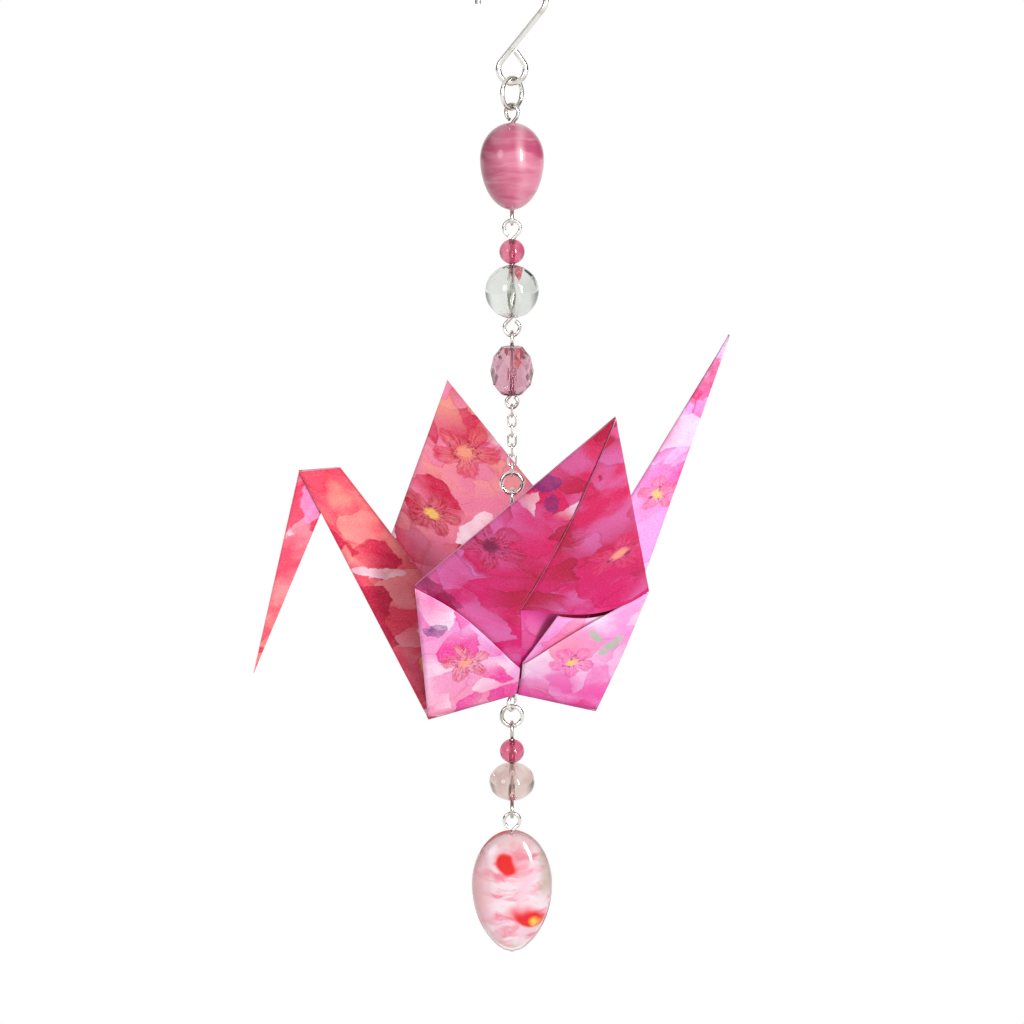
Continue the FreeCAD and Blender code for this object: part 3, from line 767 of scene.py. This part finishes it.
def leg_side(spine, edge, side, opening, thick, shade, origin, inset=0.0, parted=0.0):
    """One side of a folded leg, from its closed spine (u = 0) to its open edge (u = 1).
    thick is how far it stands off the middle behind the rounded fold, and parted how far
    it is pushed out near its top by the head that is folded into it."""
    def place(u, v):
        line = spine[0].lerp(spine[1], v)
        point = line.lerp(edge[0].lerp(edge[1], v), inset + u * (1 - 2 * inset))
        pushed = (1 - v) / 0.15 if v > 0.85 else 0.5 - 0.5 * math.cos(math.pi * v / 0.85)
        out = thick * min(1.0, u * 10) + parted * pushed * math.sqrt(u)
        spread = side * (0.06 + out + opening / 2 * u * (1 - 0.3 * v))
        return point + Vector((0, spread, 0))

    def flat(u, v):
        across = edge[0].lerp(edge[1], v) - spine[0].lerp(spine[1], v)
        return (side * across.length * u, (spine[1] - spine[0]).length * v)

    paper_panel(place, flat, 10, 40, shade, origin, 0.08)


neck_spine, neck_edge = (FOOT, NECK_TOP), (NECK_CORNER, NECK_EDGE)
head_spine, head_edge = (NECK_TOP, BEAK), (NECK_EDGE, BEAK)
tail_spine, tail_edge = (FOOT, TAIL_TIP), (TAIL_CORNER, TAIL_TIP)
for side in (-1, 1):
    leg_side(neck_spine, neck_edge, side, LEG_OPENING, 0.26, NECK, (250, 0),
             parted=0.95 if side < 0 else 0.0)
    leg_side(head_spine, head_edge, side, 0.1, 0.02, HEAD, (260, 0))
    leg_side(tail_spine, tail_edge, side, LEG_OPENING, 0.15, TAIL, (300, 30))
    leg_side(neck_spine, neck_edge, side, LEG_OPENING * 0.4, 0.1, UNDER, (340, 0), 0.05)
    leg_side(tail_spine, tail_edge, side, LEG_OPENING * 0.4, 0.05, UNDER, (380, 0), 0.05)


# Hump: the middle of the same sheet. Its folds make a small tent between the wings, and
# the crane pin pierces the peak.

HUMP_TOP = 30.9
SADDLE_DROP = 13.0
SADDLE_REACH = 11.5
EAVE_REACH = 15.8
HUMP = ((BLUSH, HOT_PINK), (CORAL, MAGENTA), (BARE, BLUSH))


def hump_facet(first, second, third, origin):
    def place(u, v):
        return first.lerp(second.lerp(third, u), v)

    def flat(u, v):
        return (24 * (u - 0.5) * v, 30 * v)

    paper_panel(place, flat, 10, 14, HUMP, origin)


PEAK = Vector((0, 0, HUMP_TOP))
for flank in (front, back):
    dip = Vector((0, flank.way * flank.out * 0.25, flank.up * 0.25))
    for side in (-1, 1):
        saddle = Vector((side * SADDLE_REACH, 0, HUMP_TOP - SADDLE_DROP))
        eave = Vector((side * EAVE_REACH, flank.way * flank.out * 0.5, flank.up * 0.5))
        spot = (430 + 20 * side, 40 + 40 * flank.way)
        hump_facet(PEAK, saddle, eave, spot)
        hump_facet(PEAK, eave, dip, spot)


# The print: dabs of watercolour laid over each other, each crisp along one side and
# washed out towards the other, with open blossoms and a few single strokes over them. One
# plum stroke is painted shadow, not print: it darkens the crevice under the front wing's
# overhanging right edge.

BLOSSOMS = (
    # spot on the sheet and radius in cm, turn in degrees, petal and heart colours
    ((22.05, 6.15), 0.70, 20, SCARLET, PEACH),
    ((21.2, 4.5), 0.55, 75, CRIMSON, YOLK),
    ((3.0, 4.55), 0.62, 10, CRIMSON, PLUM),
    ((6.85, 5.0), 0.50, 50, SCARLET, PEACH),
    ((2.95, 11.35), 0.52, 40, SCARLET, PEACH),
    ((6.75, 11.3), 0.48, 15, HOT_PINK, YOLK),
    ((10.4, 5.0), 0.60, 60, CRIMSON, PEACH),
    ((9.3, 11.2), 0.50, 25, CORAL, YOLK),
    ((29.62, 6.9), 0.34, 10, CORAL, YOLK),
    ((30.4, 7.3), 0.34, 50, HOT_PINK, PEACH),
)
STROKES = (
    # spot, half length and half width in cm, turn in degrees, colour
    ((3.35, 6.2), (0.36, 0.15), 35, INK),
    ((3.62, 5.9), (0.22, 0.11), 110, INK),
    # painted shadow: this plum stroke lies on the turned-in lip under the front wing's overhanging
    # right edge and darkens the crevice there
    ((7.2, 3.35), (0.42, 0.16), 15, PLUM),
    ((2.5, 3.1), (0.50, 0.17), -25, PLUM),
    ((7.35, 11.75), (0.26, 0.10), 60, LEAF),
    ((7.05, 12.0), (0.22, 0.08), 130, LEAF),
    ((2.45, 12.1), (0.25, 0.12), 20, INK),
    ((20.75, 5.6), (0.30, 0.11), 70, LEAF),
    ((22.5, 7.3), (0.30, 0.14), 20, PEACH),
    ((24.4, 2.9), (0.42, 0.11), -20, BARE),
    ((24.7, 1.7), (0.40, 0.09), 12, BARE),
    ((24.1, 1.0), (0.20, 0.10), 80, YOLK),
    ((29.7, 7.75), (0.34, 0.10), 100, MIST),
    ((29.8, 6.1), (0.30, 0.10), 60, INK),
    ((29.95, 9.0), (0.45, 0.24), 90, SCARLET),
    ((25.8, 0.5), (0.45, 0.24), 70, LILAC),
)


def printed_paper_finish():
    paint = Finish("printed_paper")
    sheet = paint.node("UVMap", {"uv_map": "sheet"})
    wash, deep, pale = (
        paint.node("Attribute", {"attribute_name": name}, output="Color")
        for name in ("wash", "deep", "pale")
    )

    def field(vector, scale, detail=3.0, output="Fac", roughness=0.55):
        return paint.node(
            "TexNoise", None,
            {"Vector": vector, "Scale": scale, "Detail": detail, "Roughness": roughness}, output,
        )

    def drifted(spots, amount, scale):
        drift = paint.shift(field(sheet, scale, 3.0, "Color"), (-0.5, -0.5, -0.5))
        return paint.shift(spots, paint.scale(drift, (amount, amount, 0.0)))

    grain = field(sheet, 30.0, 4.0, roughness=0.75)
    pool = field(sheet, 1.1, 4.0)
    wetness = field(sheet, 5.0, 4.0)
    hand = drifted(drifted(sheet, 0.55, 1.1), 0.10, 7.0)

    def dab(colour, tint, count, seed, share, load):
        """Lays dabs of a tint, count of them to the cm, over a share of the sheet. load is
        how much paint they hold, and seed shifts them."""
        spots = paint.shift(hand, (seed, seed * 0.7, 0.0))

        def cell(output, feature="F1"):
            return paint.node(
                "TexVoronoi", {"feature": feature}, {"Vector": spots, "Scale": count}, output
            )

        kind = cell("Color")
        chance = paint.node("SeparateColor", None, {"Color": kind}, 0)
        turn = paint.node("SeparateColor", None, {"Color": kind}, 1) * (2 * math.pi)
        off = paint.node(
            "VectorMath", {"operation": "SUBTRACT"}, {0: spots, 1: cell("Position")}
        )
        turned = paint.node(
            "VectorRotate", {"rotation_type": "Z_AXIS"}, {"Vector": off, "Angle": turn}
        )
        along = paint.node("SeparateXYZ", None, {"Vector": turned}, 0) * count
        rim = cell("Distance", "DISTANCE_TO_EDGE")
        laid = paint.step(chance, 1.0 - share, 1.005 - share)
        body = laid * paint.step(along, -0.50, 0.35)
        colour = paint.blend(
            body * paint.step(rim, 0.0, 0.02) * (load + (wetness - 0.5) * 0.8), colour, tint
        )
        line = body * paint.step(rim, 0.045, 0.005) * (0.15 + wetness * 0.5)
        return paint.blend(line, colour, tint, "MULTIPLY")

    colour = paint.blend(paint.step(pool, 0.42, 0.64) * 0.7, wash, pale)
    for tint, count, seed, share, load in (
        (deep, 0.65, 3.7, 0.50, 0.90),
        (pale, 0.80, 9.1, 0.34, 0.80),
        (wash, 1.00, 17.3, 0.48, 0.95),
        (pale, 1.45, 31.7, 0.20, 0.60),
        (deep, 1.30, 23.9, 0.30, 0.95),
        ((*BARE, 1), 1.50, 41.3, 0.07, 0.75),
    ):
        colour = dab(colour, tint, count, seed, share, load)

    fine = drifted(drifted(sheet, 0.20, 3.0), 0.09, 11.0)
    for spot, radius, turn, petal, heart in BLOSSOMS:
        around = paint.shift(fine, (-spot[0], -spot[1], 0.0))
        across = paint.node("SeparateXYZ", None, {"Vector": around}, 0)
        upward = paint.node("SeparateXYZ", None, {"Vector": around}, 1)
        reach = paint.node("VectorMath", {"operation": "LENGTH"}, {0: around}, "Value") / radius
        angle = upward.reckon("ARCTAN2", upward, across) + math.radians(turn)
        lobe = angle.reckon("COSINE", angle * 2.5).size()
        streaks = field(
            paint.node("CombineXYZ", None, {"X": angle * 3.0, "Y": reach * 0.7}), 3.0, 3.0
        )
        edge = 0.40 + lobe.reckon("POWER", lobe, 0.8) * 0.55 + (streaks - 0.5) * 0.30
        way_out = reach / edge
        thin = paint.blend(paint.step(streaks, 0.35, 0.68) * 0.65, (*petal, 1), pale)
        petals = paint.blend(paint.step(way_out, 0.45, 1.0) * 0.7, thin, (*petal, 1))
        colour = paint.blend(
            paint.step(way_out, 1.04, 0.96) * (0.75 + (wetness - 0.5) * 0.9), colour, petals
        )
        colour = paint.blend(
            paint.step(reach, 0.32, 0.12) * (0.4 + grain), colour, (*heart, 1)
        )
        stamens = paint.step(field(fine, 13.0, 1.0), 0.58, 0.63)
        stamens = stamens * paint.step(reach, 0.60, 0.36) * paint.step(reach, 0.12, 0.2)
        colour = paint.blend(stamens * 0.7, colour, (*PLUM, 1))

    # The strokes are print, except the plum one marked in the table as painted shadow.
    for spot, size, turn, tint in STROKES:
        laid = paint.node(
            "Mapping", {"vector_type": "TEXTURE"},
            {"Vector": fine, "Location": (*spot, 0.0), "Rotation": (0, 0, math.radians(turn)),
             "Scale": (*size, 1.0)},
        )
        reach = paint.node("VectorMath", {"operation": "LENGTH"}, {0: laid}, "Value")
        ragged = reach + (wetness - 0.5) * 1.1 + (grain - 0.5) * 0.3
        stroke = paint.step(ragged, 1.05, 0.90) * (0.6 + (wetness - 0.5) * 1.2)
        colour = paint.blend(stroke, colour, (*tint, 1))

    settled = paint.blend(paint.step(grain, 0.54, 0.30) * 0.35, colour, deep)
    mottled = paint.blend(paint.step(grain, 0.48, 0.74) * 0.30, settled, pale)
    tooth = field(sheet, 70.0, 2.0)
    bump = paint.node("Bump", None, {"Strength": 0.25, "Distance": 0.00005, "Height": tooth})
    return paint.cover(paint.node("BsdfPrincipled", None, {
        "Base Color": mottled,
        "Roughness": 0.50 + tooth * 0.12,
        "Specular IOR Level": 0.15,
        "Normal": bump,
    }))


def cut_edge_finish():
    """The core of the paper, which shows as a pale hairline along cut and folded edges."""
    core = Finish("paper_cut_edge")
    fibres = core.node(
        "TexNoise", None, {"Vector": core.place(), "Scale": 2500.0, "Detail": 2.0}, "Fac"
    )
    return core.cover(core.node("BsdfPrincipled", None, {
        "Base Color": core.blend(fibres, (0.80, 0.42, 0.52, 1), (0.86, 0.62, 0.70, 1)),
        "Roughness": 0.8,
    }))


bmesh.ops.recalc_face_normals(crane, faces=crane.faces)
paper = finished(
    "paper_crane", crane, "folded_crane", printed_paper_finish(),
    "folded_crane",
)
paper.data.materials.append(cut_edge_finish())
thickness = paper.modifiers.new("paper_thickness", "SOLIDIFY")
thickness.thickness = SHEET * MM
thickness.offset = 0.0
thickness.material_offset_rim = 1


# Leaf pendant: clear glass gathered over a white and pink swirled core, pressed flat
# and drawn to a point, with two red dots in it. A wire eye is set in its top.

LEAF_WIDTH = 13.4
LEAF_THICKNESS = 6.2
LEAF_SHOULDER = 9.4
CORE_SQUASH = 0.41
CASING_ABOVE = 0.9
CASING_BELOW = 1.0
CASING_ASIDE = 0.65


def leaf_profile(top, bottom, width, shoulder, rows=44):
    """Half outline of the leaf: a round crown, then a taper to a blunt point."""
    points = []
    for i in range(rows + 1):
        if i <= rows // 2:
            angle = math.pi / 2 * (1 - i / (rows // 2))
            points.append((
                width / 2 * math.cos(angle), top - shoulder * (1 - math.sin(angle))
            ))
        else:
            way = (i - rows // 2) / (rows - rows // 2)
            across = (1 - way ** 2) ** 0.60
            points.append((width / 2 * across, top - shoulder - (top - bottom - shoulder) * way))
    return points


def pressed_drop(name, profile, squash, finish, node=None):
    shape = bmesh.new()
    ring = [shape.verts.new(Vector((max(r, 0.0), 0, z)) * MM) for r, z in profile]
    edges = [shape.edges.new(pair) for pair in zip(ring, ring[1:])]
    bmesh.ops.spin(
        shape, geom=ring + edges, cent=(0, 0, 0), axis=(0, 0, 1), angle=2 * math.pi,
        steps=96, use_merge=True, use_duplicate=False,
    )
    bmesh.ops.remove_doubles(shape, verts=shape.verts, dist=1e-6)
    bmesh.ops.scale(shape, vec=(1, squash, 1), verts=shape.verts)
    bmesh.ops.recalc_face_normals(shape, faces=shape.faces)
    return finished(name, shape, "pendant", finish, node)


def swirl_core_finish(top):
    core = Finish("swirled_core")
    place = core.place()
    wander = core.node(
        "TexNoise", None, {"Vector": place, "Scale": 170.0, "Detail": 2.0}, "Color"
    )
    sway = core.scale(core.shift(wander, (-0.5, -0.5, -0.5)), (0.004, 0.004, 0.004))
    warped = core.shift(place, sway)
    across = core.node("SeparateXYZ", None, {"Vector": place}, 0) * 1000.0
    height = (core.node("SeparateXYZ", None, {"Vector": place}, 2) - top) * 1000.0
    combed = core.node(
        "Mapping", None,
        {"Vector": warped, "Rotation": (0, math.radians(-25), 0), "Scale": (0.35, 0.3, 1.0)},
    )
    folds = core.node(
        "TexNoise", None, {"Vector": combed, "Scale": 620.0, "Detail": 3.0}, "Fac"
    )
    cloud = core.node(
        "TexNoise", None, {"Vector": warped, "Scale": 260.0, "Detail": 3.0}, "Fac"
    )
    streaks = core.step(folds, 0.46, 0.64) * core.step(cloud, 0.38, 0.56)
    veil = core.blend(core.step(cloud, 0.60, 0.42), (0.97, 0.90, 0.96, 1), (0.93, 0.72, 0.82, 1))
    colour = core.blend(streaks, veil, (0.88, 0.30, 0.42, 1))
    colour = core.blend(core.step(across, -2.2, -5.6) * 0.75, colour, (0.83, 0.50, 0.53, 1))
    colour = core.blend(core.step(height, -4.6, -1.2) * 0.6, colour, (0.80, 0.66, 0.64, 1))
    colour = core.blend(
        core.step(across + cloud * 3.0, 5.4, 7.2) * core.step(height, -12.5, -9.0) * 0.9,
        colour, (0.66, 0.58, 0.50, 1),
    )
    colour = core.blend(core.step(height, -17.6, -20.0) * 0.5, colour, (0.83, 0.70, 0.65, 1))
    for spot, size, tint, soft in (
        ((-0.3, -5.3), (2.7, 1.8), (0.92, 0.13, 0.16, 1), 0.3),
        ((-0.35, -5.3), (2.0, 1.35), (0.80, 0.0, 0.0, 1), 0.7),
        ((2.0, -14.0), (3.2, 2.0), (0.92, 0.14, 0.20, 1), 0.3),
        ((2.7, -14.6), (2.2, 1.6), (0.80, 0.0, 0.005, 1), 0.7),
        ((3.6, -15.0), (0.85, 0.95), (0.95, 0.30, 0.01, 1), 0.6),
        ((3.7, -15.0), (0.50, 0.60), (0.98, 0.66, 0.10, 1), 0.6),
    ):
        centred = core.shift(warped, (-spot[0] * MM, 0.0, -(top + spot[1] * MM)))
        scaled = core.scale(centred, (1000 / size[0], 0.0, 1000 / size[1]))
        reach = core.node("VectorMath", {"operation": "LENGTH"}, {0: scaled}, "Value")
        colour = core.blend(core.step(reach, 1.2, soft), colour, tint)
    return core.cover(core.node("BsdfPrincipled", None, {
        "Base Color": colour,
        "Roughness": 0.3,
        "Specular IOR Level": 0.1,
        # Painted light: the core also glows faintly with its own colour, which brightens it behind
        # the casing, though it is no lamp.
        "Emission Color": colour,
        "Emission Strength": 0.12,
    }))


low, high = box_mm("leaf_pendant")
leaf_top = high.z
casing = clear_glass(
    "cased_pink_glass", (0.97, 0.91, 0.90, 1), (0.90, 0.82, 0.79, 1), roughness=0.10, gloss=0.12
)
pressed_drop(
    "leaf_casing", leaf_profile(high.z, low.z, LEAF_WIDTH, LEAF_SHOULDER),
    LEAF_THICKNESS / LEAF_WIDTH, casing, "leaf_pendant",
)
pressed_drop(
    "leaf_core",
    leaf_profile(
        high.z - CASING_ABOVE, low.z + CASING_BELOW, LEAF_WIDTH - 2 * CASING_ASIDE,
        LEAF_SHOULDER - 0.7,
    ),
    CORE_SQUASH, swirl_core_finish(leaf_top * MM),
)

EYE_LOOP = 3.2

low, high = box_mm("pendant_eye")
eye = loop_points(high.z - EYE_LOOP / 2, EYE_LOOP, 0, True)
eye_leg = [Vector((0, 0, leaf_top - 1.7)), Vector((0, 0, leaf_top - 0.8))]
pendant_wire = bend_wire("pendant_eye_wire", eye_leg + eye, PIN_WIRE, "pendant")
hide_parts("pendant_eye")


# Studio: a white floor and surround with even light, one soft window in front to the
# right and a weaker fill to the left. Metal and glass see the same white with dark
# sides, which draw their outlines.

STUDIO_WHITE = (1.0, 1.0, 1.0, 1)
FLOOR_REACH = 3.0
FLOOR_GAP = 0.12


def floor_finish():
    floor = Finish("studio_floor")
    path = floor.node("LightPath", output="Is Camera Ray")
    glossy = floor.node("LightPath", output="Is Glossy Ray")
    through = floor.node("LightPath", output="Is Transmission Ray")
    rays = path + glossy + through
    seen = rays.reckon("MINIMUM", rays, 1.0)
    plain = floor.node("BsdfDiffuse", None, {"Color": (0.86, 0.86, 0.86, 1)})
    shining = floor.node("Emission", None, {"Color": STUDIO_WHITE, "Strength": 1.0})
    return floor.cover(floor.node("MixShader", None, {0: seen, 1: plain, 2: shining}))


floor_shape = bmesh.new()
bmesh.ops.create_grid(floor_shape, x_segments=1, y_segments=1, size=FLOOR_REACH)
floor_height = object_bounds()[0][2] - FLOOR_GAP
bmesh.ops.translate(floor_shape, vec=(0, 0, floor_height), verts=floor_shape.verts)
floor_mesh = bpy.data.meshes.new("floor")
floor_shape.to_mesh(floor_mesh)
floor_shape.free()
floor_mesh.materials.append(floor_finish())
floor = bpy.data.objects.new("floor", floor_mesh)
bpy.context.collection.objects.link(floor)

surround = Finish("studio", bpy.data.worlds.new("studio"))
camera_ray = surround.node("LightPath", output="Is Camera Ray")
glossy_ray = surround.node("LightPath", output="Is Glossy Ray")
clear_ray = surround.node("LightPath", output="Is Transmission Ray")
direction = surround.node("TexCoord", output="Generated")
sideways = surround.node("SeparateXYZ", None, {"Vector": direction}, 0).size()
upward = surround.node("SeparateXYZ", None, {"Vector": direction}, 2)
dark_sides = surround.step(sideways, 0.35, 0.75) * surround.step(upward, 0.75, 0.35)
mirrored = surround.blend(dark_sides, (0.92, 0.92, 0.92, 1), (0.06, 0.06, 0.065, 1))
bent_aside = surround.step(sideways, 0.50, 0.92)
refracted = surround.blend(bent_aside, STUDIO_WHITE, (0.06, 0.05, 0.055, 1))
ambient = surround.blend(glossy_ray, (0.44, 0.44, 0.45, 1), mirrored)
ambient = surround.blend(clear_ray, ambient, refracted)
backdrop = surround.blend(camera_ray, ambient, STUDIO_WHITE)
sky = surround.node("Background", None, {"Color": backdrop, "Strength": 1.0})
bpy.context.scene.world = surround.cover(sky, "World")

aim = Vector((0, 0, -0.0863))


def softbox(name, place, width, height, power):
    lamp = bpy.data.lights.new(name, "AREA")
    lamp.shape = "ELLIPSE"
    lamp.size = width
    lamp.size_y = height
    lamp.energy = power
    lamp_object = bpy.data.objects.new(name, lamp)
    lamp_object.location = place
    lamp_object.rotation_euler = (aim - Vector(place)).to_track_quat("-Z", "Y").to_euler()
    bpy.context.collection.objects.link(lamp_object)


softbox("window", (0.34, -0.50, 0.09), 0.10, 0.40, 3.8)
softbox("fill", (-0.5, -0.5, 0.15), 0.30, 0.30, 1.1)

CAMERA_RISE = 11.78
CAMERA_DISTANCE = 0.4265
LENS = 92.56

rise = math.radians(CAMERA_RISE)
camera_data = bpy.data.cameras.new("camera")
camera_data.lens = LENS
camera_data.sensor_width = 36.0
camera = bpy.data.objects.new("camera", camera_data)
camera.location = aim + Vector((0, -math.cos(rise), math.sin(rise))) * CAMERA_DISTANCE
camera.rotation_euler = (aim - camera.location).to_track_quat("-Z", "Y").to_euler()
bpy.context.collection.objects.link(camera)
bpy.context.scene.camera = camera
bpy.context.scene.view_settings.view_transform = "Standard"
